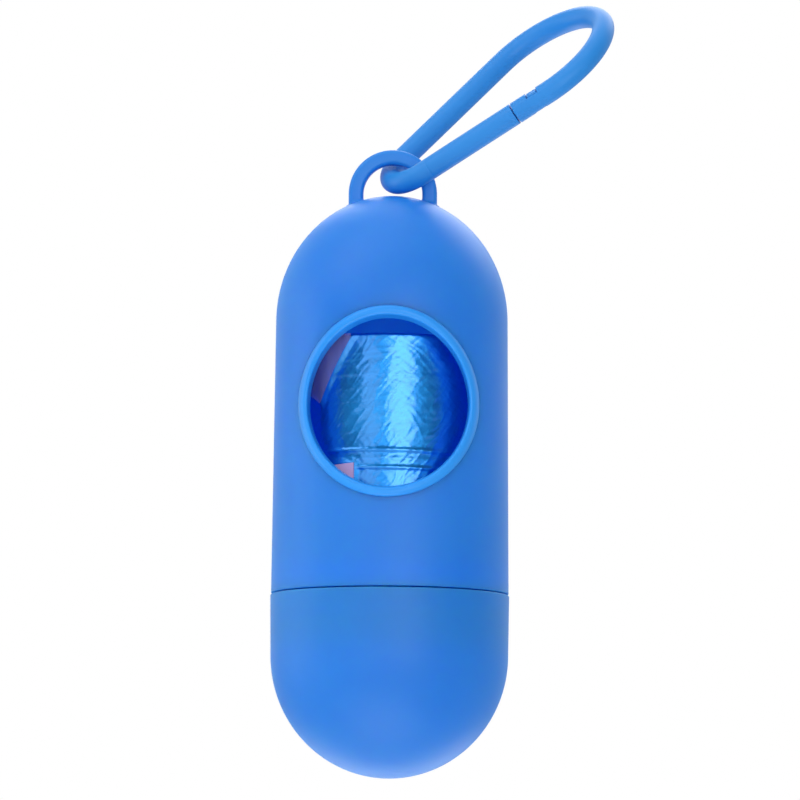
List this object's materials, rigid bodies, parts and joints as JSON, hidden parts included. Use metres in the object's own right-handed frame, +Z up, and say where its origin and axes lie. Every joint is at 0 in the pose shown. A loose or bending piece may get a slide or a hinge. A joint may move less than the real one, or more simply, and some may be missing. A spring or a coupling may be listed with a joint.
{
  "type": "dog poop bag dispenser",
  "caption": "Capsule-shaped bag dispenser with a round window, a screw-off domed cap, a roll of film bags inside and a plastic carabiner hanging in a moulded eye.",
  "frame": {"origin": "centre of the carabiner's wide end, the crook in which the object hangs", "axes": "+Z up along the capsule's axis, -Y out of the window, +X to the side that the carabiner leans to"},
  "size_m": [0.0531, 0.0376, 0.122],
  "materials": {
    "shell_plastic": "matt moulded plastic",
    "rim_plastic": "satin moulded plastic",
    "clip_plastic": "satin moulded plastic",
    "cardboard": "plain grey-brown cardboard",
    "bag_film": "shiny thin film",
    "clear_tape": "clear adhesive tape",
    "label_paper": "thin matt paper"
  },
  "bodies": {
    "carabiner": {"carabiner_frame": "clip_plastic"},
    "gate": {"carabiner_gate": "clip_plastic"},
    "shell": {"body_shell": "shell_plastic", "window_rim": "rim_plastic"},
    "core": {"roll_core": "cardboard"},
    "roll": {"bag_roll": "bag_film", "tail_tape": "clear_tape", "paper_label": "label_paper"},
    "cap": {"bottom_cap": "shell_plastic"}
  },
  "joints": [
    {"name": "gate_open", "type": "hinge", "parent": "carabiner", "child": "gate", "pos_m": [-0.01472, -0.00636, -0.01575], "axis": [-0.542, -0.4705, 0.6963], "range_deg": [0, 25], "stiffness_Nm_per_rad": 0.16},
    {"name": "swing", "type": "hinge", "parent": "carabiner", "child": "shell", "pos_m": [-0.0229, -0.0012, -0.01864], "axis": [0, 1, 0], "range_deg": [-10, 95]},
    {"name": "cap_travel", "type": "slide", "parent": "shell", "child": "core", "axis": [0, 0, -1], "range_m": [0, 0.0075]},
    {"name": "cap_turn", "type": "hinge", "parent": "core", "child": "cap", "pos_m": [-0.0229, -0.0012, -0.11188], "axis": [0, 0, -1], "range_deg": [0, 450]},
    {"name": "roll_spin", "type": "hinge", "parent": "core", "child": "roll", "pos_m": [-0.0229, -0.0012, -0.11188], "axis": [0, 0, 1], "continuous": true}
  ],
  "couplings": [
    {"joint": "cap_turn", "follows": "cap_travel", "rad_per_m": 1047.2}
  ]
}
